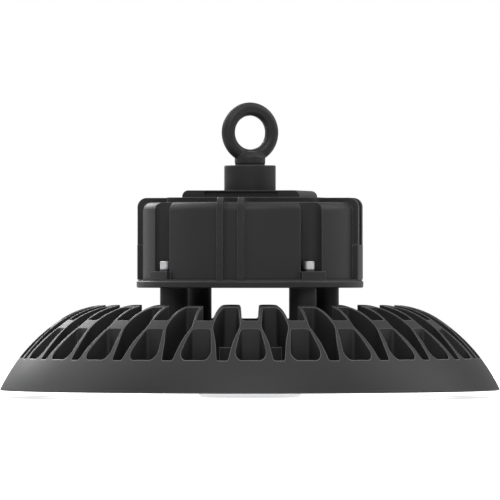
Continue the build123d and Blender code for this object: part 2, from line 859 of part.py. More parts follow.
transistor_x = cooler_x - cooler_thickness / 2 - transistor_thickness / 2
with BuildPart() as power_transistors:
    with BuildSketch(Plane.XY.offset(board_top_z + transistor_lift)):
        with Locations((transistor_x, 0)):
            with GridLocations(0, transistor_spacing, 1, 2):
                Rectangle(transistor_thickness, transistor_width)
    extrude(amount=transistor_height)
power_transistors.part.label = "power_transistors"
export_step(power_transistors.part, "parts/power_transistors.step")

with BuildPart() as terminal_block:
    with BuildSketch(Plane.XY.offset(board_top_z)):
        with Locations((0, terminal_y)):
            Rectangle(terminal_length, terminal_width)
    extrude(amount=terminal_height)
    terminal_pitch = terminal_length / terminal_entry_count
    with BuildSketch(Plane.XZ.offset(-terminal_y - terminal_width / 2)):
        with Locations((0, board_top_z + terminal_height / 2)):
            with GridLocations(terminal_pitch, 0, terminal_entry_count, 1):
                Rectangle(terminal_entry_width, terminal_entry_height)
    extrude(amount=terminal_entry_depth, mode=Mode.SUBTRACT)
terminal_block.part.label = "terminal_block"
export_step(terminal_block.part, "parts/terminal_block.step")


# Cable inlet: washer, body, rubber sleeve and nut on one axis along Y
inlet_face_y = inlet_pad_face + inlet_washer_thickness
spigot_start_y = inlet_face_y + inlet_hex_height
spigot_end_y = spigot_start_y + inlet_spigot_height
sleeve_start_y = spigot_end_y - inlet_sleeve_length + grommet_flange_height
with BuildPart() as inlet_washer:
    with BuildSketch(Plane.XZ.offset(-inlet_pad_face)):
        with Locations((0, inlet_z)):
            Circle(inlet_washer_radius)
            Circle(inlet_thread_radius + screw_play, mode=Mode.SUBTRACT)
    extrude(amount=-inlet_washer_thickness)
inlet_washer.part.label = "inlet_washer"
export_step(inlet_washer.part, "parts/inlet_washer.step")

with BuildPart() as inlet_body:
    with BuildSketch(Plane.XZ.offset(-cover_inner_radius)):
        with Locations((0, inlet_z)):
            Circle(inlet_thread_radius)
    extrude(amount=-(inlet_face_y - cover_inner_radius))
    with BuildSketch(Plane.XZ.offset(-inlet_face_y)):
        with Locations((0, inlet_z)):
            RegularPolygon(inlet_hex_radius, side_count=6, major_radius=False)
    extrude(amount=-inlet_hex_height)
    with BuildSketch(Plane.XZ.offset(-spigot_start_y)):
        with Locations((0, inlet_z)):
            Circle(inlet_spigot_radius)
    extrude(amount=-inlet_spigot_height)
    with BuildSketch(Plane.XZ.offset(-cover_inner_radius)):
        with Locations((0, inlet_z)):
            Circle(inlet_cable_radius + fit_gap)
    extrude(amount=-(spigot_end_y - cover_inner_radius), mode=Mode.SUBTRACT)
    with BuildSketch(Plane.XZ.offset(-sleeve_start_y)):
        with Locations((0, inlet_z)):
            Circle(inlet_sleeve_radius + screw_play)
    extrude(amount=-(spigot_end_y - sleeve_start_y), mode=Mode.SUBTRACT)
inlet_body.part.label = "inlet_body"
export_step(inlet_body.part, "parts/inlet_body.step")

with BuildPart() as inlet_sleeve:
    with BuildSketch(Plane.XZ.offset(-sleeve_start_y)):
        with Locations((0, inlet_z)):
            Circle(inlet_sleeve_radius)
            Circle(inlet_cable_radius, mode=Mode.SUBTRACT)
    extrude(amount=-inlet_sleeve_length)
inlet_sleeve.part.label = "inlet_sleeve"
export_step(inlet_sleeve.part, "parts/inlet_sleeve.step")

nut_start_y = spigot_start_y + fit_gap
with BuildPart() as inlet_nut:
    with BuildSketch(Plane.XZ.offset(-nut_start_y)):
        with Locations((0, inlet_z)):
            Circle(inlet_nut_radius)
    extrude(amount=-inlet_nut_height)
    fillet(inlet_nut.edges().sort_by(Axis.Y)[-1], inlet_nut_rounding)
    with BuildSketch(Plane.XZ.offset(-nut_start_y)):
        with Locations((0, inlet_z)):
            Circle(inlet_spigot_radius + screw_play)
    extrude(
        amount=-(sleeve_start_y + inlet_sleeve_length - nut_start_y),
        mode=Mode.SUBTRACT,
    )
    with BuildSketch(Plane.XZ.offset(-nut_start_y)):
        with Locations((0, inlet_z)):
            Circle(inlet_nut_mouth)
    extrude(amount=-inlet_nut_height, mode=Mode.SUBTRACT)
inlet_nut.part.label = "inlet_nut"
export_step(inlet_nut.part, "parts/inlet_nut.step")
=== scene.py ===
import json
import logging
import math
from dataclasses import dataclass, field, replace
from enum import Enum
from functools import cache

import bmesh
import bpy
from mathutils import Matrix, Vector


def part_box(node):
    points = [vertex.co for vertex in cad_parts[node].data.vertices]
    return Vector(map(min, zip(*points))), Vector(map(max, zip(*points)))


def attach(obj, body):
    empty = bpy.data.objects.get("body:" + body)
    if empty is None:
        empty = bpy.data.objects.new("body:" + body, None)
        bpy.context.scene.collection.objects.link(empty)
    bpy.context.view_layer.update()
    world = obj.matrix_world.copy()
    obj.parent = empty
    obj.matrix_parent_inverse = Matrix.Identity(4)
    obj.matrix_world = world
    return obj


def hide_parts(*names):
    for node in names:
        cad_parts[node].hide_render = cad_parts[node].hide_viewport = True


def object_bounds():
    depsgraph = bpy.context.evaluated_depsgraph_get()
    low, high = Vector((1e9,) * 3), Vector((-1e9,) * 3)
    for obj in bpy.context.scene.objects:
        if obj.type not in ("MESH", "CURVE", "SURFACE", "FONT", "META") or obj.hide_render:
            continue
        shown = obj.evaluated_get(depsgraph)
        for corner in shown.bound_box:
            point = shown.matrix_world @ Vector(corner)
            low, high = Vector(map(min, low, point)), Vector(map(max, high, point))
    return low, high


# Dresses a round industrial LED light and stands it on a pale studio floor.
# Everything is in metres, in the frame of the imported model: +Z is up and the
# photographed side faces -Y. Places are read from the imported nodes' boxes.

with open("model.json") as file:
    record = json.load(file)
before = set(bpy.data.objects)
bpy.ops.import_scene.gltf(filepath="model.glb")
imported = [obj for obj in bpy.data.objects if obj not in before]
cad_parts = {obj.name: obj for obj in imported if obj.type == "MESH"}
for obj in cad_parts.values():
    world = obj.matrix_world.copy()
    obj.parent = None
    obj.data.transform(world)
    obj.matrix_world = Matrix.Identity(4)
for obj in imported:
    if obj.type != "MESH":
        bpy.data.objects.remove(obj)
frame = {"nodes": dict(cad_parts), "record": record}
cad_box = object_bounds()

LOG = logging.getLogger("high_bay_light")
BODY = "root"
MM = 0.001
JOIN_DISTANCE = 0.001 * MM

Colour = tuple[float, float, float]
Place = tuple[float, float, float]
Value = bpy.types.NodeSocket | float

WHITE = (1.0, 1.0, 1.0, 1.0)

# Sockets of the Mix node in its colour mode
MIX_FIRST = 6
MIX_SECOND = 7
MIX_RESULT = 2


# Node trees


class Graph:
    """Adds nodes to one shader or geometry tree and joins them."""

    def __init__(self, tree: bpy.types.NodeTree) -> None:
        """Keep the tree that the nodes go into."""
        self.tree = tree

    def add(self, kind: str, **settings: object) -> bpy.types.Node:
        """Add one node.

        Args:
            kind: The node's type name.
            **settings: Properties to set on the node.

        Returns:
            The new node.
        """
        node = self.tree.nodes.new(kind)
        for name, value in settings.items():
            setattr(node, name, value)
        return node

    def feed(self, node: bpy.types.Node, inputs: dict[str | int, object]) -> None:
        """Set or link inputs of a node.

        Args:
            node: The node whose inputs are fed.
            inputs: Input name or index, with an output socket or a plain value.
        """
        for key, value in inputs.items():
            if isinstance(value, bpy.types.NodeSocket):
                self.tree.links.new(value, node.inputs[key])
            else:
                node.inputs[key].default_value = value

    def math(self, operation: str, first: Value, second: Value) -> bpy.types.NodeSocket:
        """Work out one number from two.

        Args:
            operation: The Math node's operation.
            first: The first number.
            second: The second number.

        Returns:
            The socket that holds the result.
        """
        node = self.add("ShaderNodeMath", operation=operation)
        self.feed(node, {0: first, 1: second})
        return node.outputs[0]

    def spread(self, mask: Value, low: Value, high: Value) -> bpy.types.NodeSocket:
        """Map a mask from 0..1 to another range.

        Args:
            mask: A socket that runs from 0 to 1.
            low: The result at 0.
            high: The result at 1.

        Returns:
            The socket that holds the mapped value.
        """
        node = self.add("ShaderNodeMapRange")
        self.feed(node, {"Value": mask, "To Min": low, "To Max": high})
        return node.outputs["Result"]

    def wander(self, mask: Value, middle: Value, reach: Value) -> bpy.types.NodeSocket:
        """Let a number move to both sides of its middle.

        Args:
            mask: A socket that runs from 0 to 1.
            middle: The number at the middle of the mask.
            reach: How far it moves to each side.

        Returns:
            The socket that holds the moving number.
        """
        low = self.math("SUBTRACT", middle, reach)
        high = self.math("ADD", middle, reach)
        return self.spread(mask, low, high)

    def clouds(
        self, place: bpy.types.NodeSocket, scale: Value, detail: float = 2.0, roughness: float = 0.5
    ) -> bpy.types.NodeSocket:
        """Add soft noise.

        Args:
            place: The coordinates that it follows.
            scale: Clouds for each metre.
            detail: Octaves of finer noise.
            roughness: Weight of the finer noise.

        Returns:
            The socket that holds the noise, from 0 to 1.
        """
        noise = self.add("ShaderNodeTexNoise")
        self.feed(noise, {"Vector": place, "Scale": scale})
        self.feed(noise, {"Detail": detail, "Roughness": roughness})
        return noise.outputs["Fac"]

    def blend(self, share: Value, first: Colour, second: Colour) -> bpy.types.NodeSocket:
        """Mix two colours.

        Args:
            share: Share of the second colour.
            first: The colour at 0.
            second: The colour at 1.

        Returns:
            The socket that holds the mixed colour.
        """
        mix = self.add("ShaderNodeMix", data_type="RGBA")
        self.feed(mix, {"Factor": share, MIX_FIRST: (*first, 1.0), MIX_SECOND: (*second, 1.0)})
        return mix.outputs[MIX_RESULT]

    def along_z(self, length: Value) -> bpy.types.NodeSocket:
        """Make a vector along Z.

        Args:
            length: The vector's Z.

        Returns:
            The socket that holds the vector.
        """
        vector = self.add("ShaderNodeCombineXYZ")
        self.feed(vector, {"Z": length})
        return vector.outputs[0]


class Kind(Enum):
    """Socket types that the groups' inputs and outputs use."""

    NUMBER = "NodeSocketFloat"
    WHOLE = "NodeSocketInt"
    VECTOR = "NodeSocketVector"
    COLOUR = "NodeSocketColor"
    MATERIAL = "NodeSocketMaterial"
    GEOMETRY = "NodeSocketGeometry"


def new_group(
    name: str, tree_type: str, inputs: dict[str, Kind], outputs: dict[str, Kind]
) -> Graph:
    """Start a node group with named sockets.

    Args:
        name: The group's name.
        tree_type: ShaderNodeTree or GeometryNodeTree.
        inputs: Name and type of each input.
        outputs: Name and type of each output.

    Returns:
        A graph over the new group.
    """
    tree = bpy.data.node_groups.new(name, tree_type)
    for label, kind in inputs.items():
        tree.interface.new_socket(name=label, in_out="INPUT", socket_type=kind.value)
    for label, kind in outputs.items():
        tree.interface.new_socket(name=label, in_out="OUTPUT", socket_type=kind.value)
    return Graph(tree)


@cache
def colour_drift() -> bpy.types.NodeTree:
    """Group that lets a colour wander lighter and darker in soft clouds.

    Returns:
        The shader node group.
    """
    graph = new_group(
        "colour_drift",
        "ShaderNodeTree",
        {"Vector": Kind.VECTOR, "Scale": Kind.NUMBER, "Colour": Kind.COLOUR, "Drift": Kind.NUMBER},
        {"Colour": Kind.COLOUR},
    )
    given = graph.add("NodeGroupInput").outputs
    result = graph.add("NodeGroupOutput")
    clouds = graph.clouds(given["Vector"], given["Scale"], detail=4.0)
    tone = graph.add("ShaderNodeHueSaturation")
    graph.feed(tone, {"Color": given["Colour"], "Value": graph.wander(clouds, 1.0, given["Drift"])})
    graph.feed(result, {"Colour": tone.outputs["Color"]})
    return graph.tree


@cache
def fine_grain() -> bpy.types.NodeTree:
    """Group for a sprayed or moulded skin: small bumps, and gloss that varies a little.

    Returns:
        The shader node group.
    """
    graph = new_group(
        "fine_grain",
        "ShaderNodeTree",
        {
            "Vector": Kind.VECTOR,
            "Grain Scale": Kind.NUMBER,
            "Patch Scale": Kind.NUMBER,
            "Roughness": Kind.NUMBER,
            "Roughness Spread": Kind.NUMBER,
        },
        {"Roughness": Kind.NUMBER, "Height": Kind.NUMBER},
    )
    given = graph.add("NodeGroupInput").outputs
    result = graph.add("NodeGroupOutput")
    grain = graph.clouds(given["Vector"], given["Grain Scale"], detail=3.0, roughness=0.6)
    patches = graph.clouds(given["Vector"], given["Patch Scale"])
    roughness = graph.wander(patches, given["Roughness"], given["Roughness Spread"])
    graph.feed(result, {"Roughness": roughness, "Height": grain})
    return graph.tree


@cache
def painted_edge_highlight() -> bpy.types.NodeTree:
    """Group that finds edges for a painted highlight, where the rounded normal leaves the true one.

    Returns:
        The shader node group.
    """
    lightest = 0.4
    heaviest = 1.4
    graph = new_group(
        "painted_edge_highlight",
        "ShaderNodeTree",
        {
            "Vector": Kind.VECTOR,
            "Normal": Kind.VECTOR,
            "Rounded Normal": Kind.VECTOR,
            "Patch Scale": Kind.NUMBER,
            "Amount": Kind.NUMBER,
        },
        {"Mask": Kind.NUMBER},
    )
    given = graph.add("NodeGroupInput").outputs
    result = graph.add("NodeGroupOutput")
    aligned = graph.add("ShaderNodeVectorMath", operation="DOT_PRODUCT")
    graph.feed(aligned, {0: given["Normal"], 1: given["Rounded Normal"]})
    turned = graph.math("SUBTRACT", 1.0, aligned.outputs["Value"])
    sharper = graph.math("MULTIPLY", turned, given["Amount"])
    patches = graph.clouds(given["Vector"], given["Patch Scale"])
    uneven = graph.math("MULTIPLY", sharper, graph.spread(patches, lightest, heaviest))
    graph.feed(result, {"Mask": graph.math("MINIMUM", uneven, 1.0)})
    return graph.tree


@cache
def drawn_lines() -> bpy.types.NodeTree:
    """Group for drawn or turned metal: fine lines along one axis.

    Returns:
        The shader node group.
    """
    graph = new_group(
        "drawn_lines",
        "ShaderNodeTree",
        {
            "Vector": Kind.VECTOR,
            "Stretch": Kind.VECTOR,
            "Scale": Kind.NUMBER,
            "Roughness": Kind.NUMBER,
            "Roughness Spread": Kind.NUMBER,
        },
        {"Roughness": Kind.NUMBER, "Height": Kind.NUMBER},
    )
    given = graph.add("NodeGroupInput").outputs
    result = graph.add("NodeGroupOutput")
    stretched = graph.add("ShaderNodeVectorMath", operation="MULTIPLY")
    graph.feed(stretched, {0: given["Vector"], 1: given["Stretch"]})
    lines = graph.clouds(stretched.outputs["Vector"], given["Scale"])
    roughness = graph.wander(lines, given["Roughness"], given["Roughness Spread"])
    graph.feed(result, {"Roughness": roughness, "Height": lines})
    return graph.tree


# Finishes


@dataclass(frozen=True)
class Finish:
    """A surface finish with its own material.

    Attributes:
        name: The material's name.
        slot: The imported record's material slot.
        colour: Base colour, linear.
        roughness: Mean roughness.
        roughness_spread: How far the roughness wanders to each side.
        drift: How far the colour wanders, as a share.
        drift_scale: Clouds of colour for each metre.
        grain_scale: Grains for each metre.
        grain_height: Depth of the grain, in metres.
    """

    name: str
    slot: str
    colour: Colour
    roughness: float
    roughness_spread: float = 0.05
    drift: float = 0.08
    drift_scale: float = 30.0
    grain_scale: float = 1800.0
    grain_height: float = 0.02 * MM

    def material(self) -> bpy.types.Material:
        """Build the material once and hand out the same one after that.

        Returns:
            The finished material.
        """
        made = bpy.data.materials.get(self.name)
        if made is None:
            made = bpy.data.materials.new(self.name)
            made.use_nodes = True
            made.node_tree.nodes.clear()
            graph = Graph(made.node_tree)
            output = graph.add("ShaderNodeOutputMaterial")
            shader = graph.add("ShaderNodeBsdfPrincipled")
            graph.feed(output, {"Surface": shader.outputs["BSDF"]})
            place = graph.add("ShaderNodeTexCoord").outputs["Object"]
            self.dress(graph, shader, place)
        return made

    def group(
        self, graph: Graph, tree: bpy.types.NodeTree, inputs: dict[str, object]
    ) -> bpy.types.Node:
        """Place a shared effect in this material.

        Args:
            graph: The material's graph.
            tree: The shared node group.
            inputs: Values of the group's named inputs.

        Returns:
            The group's node.
        """
        node = graph.add("ShaderNodeGroup", node_tree=tree)
        graph.feed(node, inputs)
        return node

    def tinted(
        self, graph: Graph, place: bpy.types.NodeSocket, colour: bpy.types.NodeSocket | Colour
    ) -> bpy.types.NodeSocket:
        """Let a colour wander by this finish's drift.

        Args:
            graph: The material's graph.
            place: The Object coordinates.
            colour: A colour or a colour socket.

        Returns:
            The socket that holds the drifting colour.
        """
        value = colour if isinstance(colour, bpy.types.NodeSocket) else (*colour, 1.0)
        drift = self.group(
            graph,
            colour_drift(),
            {"Vector": place, "Scale": self.drift_scale, "Colour": value, "Drift": self.drift},
        )
        return drift.outputs["Colour"]

    def grain(self, graph: Graph, place: bpy.types.NodeSocket) -> bpy.types.Node:
        """Add this finish's skin.

        Args:
            graph: The material's graph.
            place: The Object coordinates.

        Returns:
            The group node, with Roughness and Height outputs.
        """
        return self.group(
            graph,
            fine_grain(),
            {
                "Vector": place,
                "Grain Scale": self.grain_scale,
                "Patch Scale": self.drift_scale,
                "Roughness": self.roughness,
                "Roughness Spread": self.roughness_spread,
            },
        )

    def bump(self, graph: Graph, height: bpy.types.NodeSocket, depth: float) -> bpy.types.Node:
        """Turn a height into a bumped normal.

        Args:
            graph: The material's graph.
            height: The socket that holds a height from 0 to 1.
            depth: The real depth of the relief, in metres.

        Returns:
            The Bump node.
        """
        node = graph.add("ShaderNodeBump")
        graph.feed(node, {"Height": height, "Distance": depth, "Strength": 1.0})
        return node

    def dress(self, graph: Graph, shader: bpy.types.Node, place: bpy.types.NodeSocket) -> None:
        """Feed the shader with a plain grained surface.

        Args:
            graph: The material's graph.
            shader: The Principled BSDF node.
            place: The Object coordinates.
        """
        skin = self.grain(graph, place)
        relief = self.bump(graph, skin.outputs["Height"], self.grain_height)
        graph.feed(
            shader,
            {
                "Base Color": self.tinted(graph, place, self.colour),
                "Roughness": skin.outputs["Roughness"],
                "Normal": relief.outputs["Normal"],
            },
        )


@dataclass(frozen=True)
class PowderCoat(Finish):
    """Satin powder coat on a casting, rounded at its edges, with a painted highlight along them.

    Attributes:
        specular: Specular level of the coat.
        edge_radius: Radius of the cast edges, in metres.
        edge_samples: Rays that find each rounded edge.
        highlight_colour: Colour of the painted highlight on edges.
        edge_highlight: How readily an edge takes the painted highlight.
        highlight_patches: Patches of stronger and weaker painted highlight for each cloud of
            colour.
    """

    specular: float = 0.15
    edge_radius: float = 0.8 * MM
    edge_samples: int = 6
    highlight_colour: Colour = (0.22, 0.22, 0.223)
    edge_highlight: float = 2.8
    highlight_patches: float = 4.0

    def dress(self, graph: Graph, shader: bpy.types.Node, place: bpy.types.NodeSocket) -> None:
        """Feed the shader with a grained coat whose edges are rounded and carry a painted
        highlight.

        Args:
            graph: The material's graph.
            shader: The Principled BSDF node.
            place: The Object coordinates.
        """
        rounded = graph.add("ShaderNodeBevel", samples=self.edge_samples)
        graph.feed(rounded, {"Radius": self.edge_radius})
        edge_highlight = self.group(
            graph,
            painted_edge_highlight(),
            {
                "Vector": place,
                "Normal": graph.add("ShaderNodeNewGeometry").outputs["Normal"],
                "Rounded Normal": rounded.outputs["Normal"],
                "Patch Scale": self.highlight_patches * self.drift_scale,
                "Amount": self.edge_highlight,
            },
        )
        # Painted highlight: edges are mixed towards a lighter colour where the rounded normal turns
        # from the true one, more in some patches than others.
        highlighted = graph.blend(edge_highlight.outputs["Mask"], self.colour, self.highlight_colour)
        skin = self.grain(graph, place)
        relief = self.bump(graph, skin.outputs["Height"], self.grain_height)
        graph.feed(relief, {"Normal": rounded.outputs["Normal"]})
        graph.feed(
            shader,
            {
                "Base Color": self.tinted(graph, place, highlighted),
                "Roughness": skin.outputs["Roughness"],
                "Specular IOR Level": self.specular,
                "Normal": relief.outputs["Normal"],
            },
        )


@dataclass(frozen=True)
class BareMetal(Finish):
    """Drawn, turned or milled bare metal.

    Attributes:
        stretch: How the lines of the surface run, as a scale for each axis.
        line_scale: Lines for each metre.
        line_height: Depth of the lines, in metres.
    """

    stretch: tuple[float, float, float] = (1.0, 1.0, 0.05)
    line_scale: float = 1500.0
    line_height: float = 0.01 * MM

    def dress(self, graph: Graph, shader: bpy.types.Node, place: bpy.types.NodeSocket) -> None:
        """Feed the shader with lined metal.

        Args:
            graph: The material's graph.
            shader: The Principled BSDF node.
            place: The Object coordinates.
        """
        lines = self.group(
            graph,
            drawn_lines(),
            {
                "Vector": place,
                "Stretch": self.stretch,
                "Scale": self.line_scale,
                "Roughness": self.roughness,
                "Roughness Spread": self.roughness_spread,
            },
        )
        relief = self.bump(graph, lines.outputs["Height"], self.line_height)
        graph.feed(
            shader,
            {
                "Base Color": self.tinted(graph, place, self.colour),
                "Metallic": 1.0,
                "Roughness": lines.outputs["Roughness"],
                "Normal": relief.outputs["Normal"],
            },
        )


@dataclass(frozen=True)
class Polymer(Finish):
    """Moulded plastic, rubber, resin or opal optic.

    Attributes:
        coat: Weight of a clear coat.
        translucence: Weight of light scattered under the surface.
        scatter_depth: How deep that light goes, in metres.
        transmission: Weight of light let through.
        painted_glow: Strength of the light painted onto the surface as a glow of its own.
    """

    coat: float = 0.0
    translucence: float = 0.0
    scatter_depth: float = 2.0 * MM
    transmission: float = 0.0
    painted_glow: float = 0.0

    def dress(self, graph: Graph, shader: bpy.types.Node, place: bpy.types.NodeSocket) -> None:
        """Feed the shader with a moulded skin.

        Args:
            graph: The material's graph.
            shader: The Principled BSDF node.
            place: The Object coordinates.
        """
        super().dress(graph, shader, place)
        # The glow is painted light; only the lens has one.
        graph.feed(
            shader,
            {
                "Coat Weight": self.coat,
                "Subsurface Weight": self.translucence,
                "Subsurface Scale": self.scatter_depth,
                "Transmission Weight": self.transmission,
                "Emission Color": WHITE,
                "Emission Strength": self.painted_glow,
            },
        )


@dataclass(frozen=True)
class CircuitBoard(Finish):
    """Solder mask over copper tracks that show through as a lighter, raised net.

    Attributes:
        track_colour: Colour of the mask where copper lies under it.
        track_scale: Tracks for each metre.
        track_share: Share of the surface with copper under it.
        mask_coat: Weight of the mask's clear coat.
    """

    track_colour: Colour = (0.1, 0.4, 0.18)
    track_scale: float = 260.0
    track_share: float = 0.35
    mask_coat: float = 0.4

    def dress(self, graph: Graph, shader: bpy.types.Node, place: bpy.types.NodeSocket) -> None:
        """Feed the shader with masked copper tracks.

        Args:
            graph: The material's graph.
            shader: The Principled BSDF node.
            place: The Object coordinates.
        """
        cells = graph.add("ShaderNodeTexVoronoi", distance="CHEBYCHEV")
        graph.feed(cells, {"Vector": place, "Scale": self.track_scale})
        copper = graph.math("LESS_THAN", cells.outputs["Distance"], self.track_share)
        masked = graph.blend(copper, self.colour, self.track_colour)
        skin = self.grain(graph, place)
        relief = self.bump(graph, copper, self.grain_height)
        graph.feed(
            shader,
            {
                "Base Color": self.tinted(graph, place, masked),
                "Roughness": skin.outputs["Roughness"],
                "Coat Weight": self.mask_coat,
                "Normal": relief.outputs["Normal"],
            },
        )


@dataclass(frozen=True)
class Winding(Finish):
    """Enamelled wire wound side by side.

    Attributes:
        wire_scale: Wires for each metre.
        wire_height: Height of one wire, in metres.
        wire_waver: How far the rows waver.
        gap_colour: Colour between the wires.
        metallic: How far the enamel lets the copper show.
    """

    wire_scale: float = 1100.0
    wire_height: float = 0.3 * MM
    wire_waver: float = 0.4
    gap_colour: Colour = (0.05, 0.015, 0.008)
    metallic: float = 0.6

    def dress(self, graph: Graph, shader: bpy.types.Node, place: bpy.types.NodeSocket) -> None:
        """Feed the shader with rows of wire.

        Args:
            graph: The material's graph.
            shader: The Principled BSDF node.
            place: The Object coordinates.
        """
        rows = graph.add("ShaderNodeTexWave", bands_direction="DIAGONAL")
        graph.feed(
            rows,
            {"Vector": place, "Scale": self.wire_scale / math.tau, "Distortion": self.wire_waver},
        )
        wound = graph.blend(rows.outputs["Fac"], self.gap_colour, self.colour)
        relief = self.bump(graph, rows.outputs["Fac"], self.wire_height)
        skin = self.grain(graph, place)
        graph.feed(
            shader,
            {
                "Base Color": self.tinted(graph, place, wound),
                "Metallic": self.metallic,
                "Roughness": skin.outputs["Roughness"],
                "Normal": relief.outputs["Normal"],
            },
        )


# Painted highlight: the powder coats are lighter along their edges.
COAT = PowderCoat("black_powder_coat", "black_casting", (0.019, 0.019, 0.02), 0.46, drift=0.1)
# The cover's edges take a weaker painted highlight.
COVER_COAT = replace(COAT, name="black_cover_coat", edge_highlight=1.2)
FORGED = PowderCoat(
    "black_forged_coat",
    "black_steel",
    (0.018, 0.018, 0.019),
    0.42,
    grain_scale=1200.0,
    grain_height=0.03 * MM,
    edge_radius=0.4 * MM,
)
STEEL = BareMetal(
    "bright_zinc_steel", "bright_steel", (0.43, 0.43, 0.44), 0.42, line_height=0.002 * MM
)
# Painted shade: the lock washers under the screw heads are coloured near black.
WASHER_SHADE_STEEL = BareMetal("washer_steel_painted_shade", "bright_steel", (0.07, 0.07, 0.072), 0.45)
BRASS = BareMetal("turned_brass", "brass_spacer", (0.78, 0.6, 0.28), 0.3)
ALUMINIUM = BareMetal("milled_aluminium", "bare_aluminium", (0.8, 0.8, 0.81), 0.35)
RUBBER = Polymer("black_moulded_rubber", "black_rubber", (0.018, 0.018, 0.018), 0.72)
SILICONE = Polymer(
    "clear_silicone", "clear_silicone", (0.72, 0.73, 0.74), 0.4, translucence=0.5, transmission=0.3
)
NYLON = Polymer("black_nylon", "black_plastic", (0.02, 0.02, 0.021), 0.5, grain_scale=2500.0)
# Painted light: a weak glow lifts the lens, which the rim shades, towards white.
OPAL = Polymer(
    "opal_optic",
    "white_optic",
    (0.82, 0.83, 0.84),
    0.28,
    drift=0.01,
    coat=0.3,
    translucence=0.4,
    painted_glow=0.28,
)
WHITE_BOARD = CircuitBoard(
    "white_solder_mask",
    "white_board",
    (0.8, 0.8, 0.77),
    0.4,
    track_colour=(0.86, 0.86, 0.84),
    track_scale=120.0,
)
GREEN_BOARD = CircuitBoard("green_solder_mask", "green_board", (0.02, 0.16, 0.05), 0.35)
PHOSPHOR = Polymer("yellow_phosphor", "yellow_phosphor", (0.84, 0.6, 0.06), 0.3, coat=0.6)
INSULATION = Polymer("red_wire_insulation", "red_insulation", (0.5, 0.03, 0.025), 0.4)
FERRITE = Finish("dark_ferrite", "dark_ferrite", (0.05, 0.05, 0.052), 0.65, grain_scale=900.0)
COPPER_COIL = Winding("enamelled_copper_coil", "copper_winding", (0.5, 0.2, 0.08), 0.3)
RED_RESIN = Polymer("red_dipped_resin", "red_plastic", (0.42, 0.07, 0.03), 0.22, coat=0.5)
GREEN_NYLON = Polymer("green_nylon", "green_plastic", (0.05, 0.28, 0.1), 0.45)


# Meshes


def dress_node(node: str, finish: Finish) -> None:
    """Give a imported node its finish, and leave its shape alone.

    Args:
        node: The node's name.
        finish: The finish that its slots take.
    """
    target = frame["nodes"][node]
    material = finish.material()
    if not target.material_slots:
        target.data.materials.append(material)
    for slot in target.material_slots:
        slot.material = material
    LOG.info("%s takes %s", node, finish.name)


def seat_piece(piece: bpy.types.Object, finish: Finish, *nodes: str) -> None:
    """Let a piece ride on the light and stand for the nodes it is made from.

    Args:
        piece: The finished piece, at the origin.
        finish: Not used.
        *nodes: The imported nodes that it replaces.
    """
    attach(piece, BODY)
    if nodes:
        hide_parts(*nodes)
    LOG.info("%s has %d faces", piece.name, len(piece.data.polygons))


def link_piece(name: str, mesh: bpy.types.Mesh, finish: Finish) -> bpy.types.Object:
    """Put a mesh into the scene as an object at the origin.

    Args:
        name: The piece's name.
        mesh: Its mesh, already in place.
        finish: The finish of all its faces.

    Returns:
        The new object.
    """
    mesh.materials.clear()
    mesh.materials.append(finish.material())
    piece = bpy.data.objects.new(name, mesh)
    bpy.context.scene.collection.objects.link(piece)
    return piece


def bake_modifiers(piece: bpy.types.Object) -> None:
    """Turn a piece's modifiers into its mesh and take them off.

    Args:
        piece: The object whose mesh is replaced by its evaluated one.
    """
    depsgraph = bpy.context.evaluated_depsgraph_get()
    baked = bpy.data.meshes.new_from_object(piece.evaluated_get(depsgraph))
    piece.modifiers.clear()
    piece.data = baked


def shade_round(piece: bpy.types.Object, crease: float) -> None:
    """Shade curved walls smooth, and keep edges that turn by more than the crease sharp."""
    piece.data.shade_smooth()
    piece.data.set_sharp_from_angle(angle=crease)


def finished_mesh(work: bmesh.types.BMesh, name: str) -> bpy.types.Mesh:
    """Turn worked faces into a new mesh and free them.

    Args:
        work: The faces, which can't be used after this.
        name: The mesh's name.

    Returns:
        The new mesh.
    """
    mesh = bpy.data.meshes.new(name)
    work.to_mesh(mesh)
    work.free()
    return mesh


def merged_copy(node: str, name: str, finish: Finish) -> bpy.types.Object:
    """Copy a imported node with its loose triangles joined.

    Args:
        node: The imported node.
        name: The new piece's name.
        finish: Its finish.

    Returns:
        The copy, at the origin.
    """
    work = bmesh.new()
    work.from_mesh(frame["nodes"][node].data)
    bmesh.ops.remove_doubles(work, verts=work.verts, dist=JOIN_DISTANCE)
    return link_piece(name, finished_mesh(work, name), finish)


def joined(name: str, pieces: list[bpy.types.Object], finish: Finish) -> bpy.types.Object:
    """Make one object of several meshes at the origin.

    Args:
        name: The new piece's name.
        pieces: Objects whose meshes are gathered; they are removed.
        finish: The finish of all faces.

    Returns:
        The joined object.
    """
    work = bmesh.new()
    for piece in pieces:
        work.from_mesh(piece.data)
        bpy.data.objects.remove(piece)
    return link_piece(name, finished_mesh(work, name), finish)


def add_loop(
    work: bmesh.types.BMesh, reaches: list[float], level: float
) -> list[bmesh.types.BMVert]:
    """Set corners at even angles about Z.

    Args:
        work: The faces so far.
        reaches: Distance of each corner from Z. The first one lies towards +X.
        level: Height of the corners.

    Returns:
        The corners, in order.
    """
    corners = []
    for index, reach in enumerate(reaches):
        angle = math.tau * index / len(reaches)
        corners.append(work.verts.new((reach * math.cos(angle), reach * math.sin(angle), level)))
    return corners


def add_wall(
    work: bmesh.types.BMesh, lower: list[bmesh.types.BMVert], upper: list[bmesh.types.BMVert]
) -> None:
    """Join two loops of corners by a wall of four-sided faces.

    Args:
        work: The faces so far.
        lower: The corners of one loop, in order.
        upper: As many corners of the other loop, in the same order.
    """
    for index, corner in enumerate(lower):
        after = (index + 1) % len(lower)
        work.faces.new((corner, lower[after], upper[after], upper[index]))


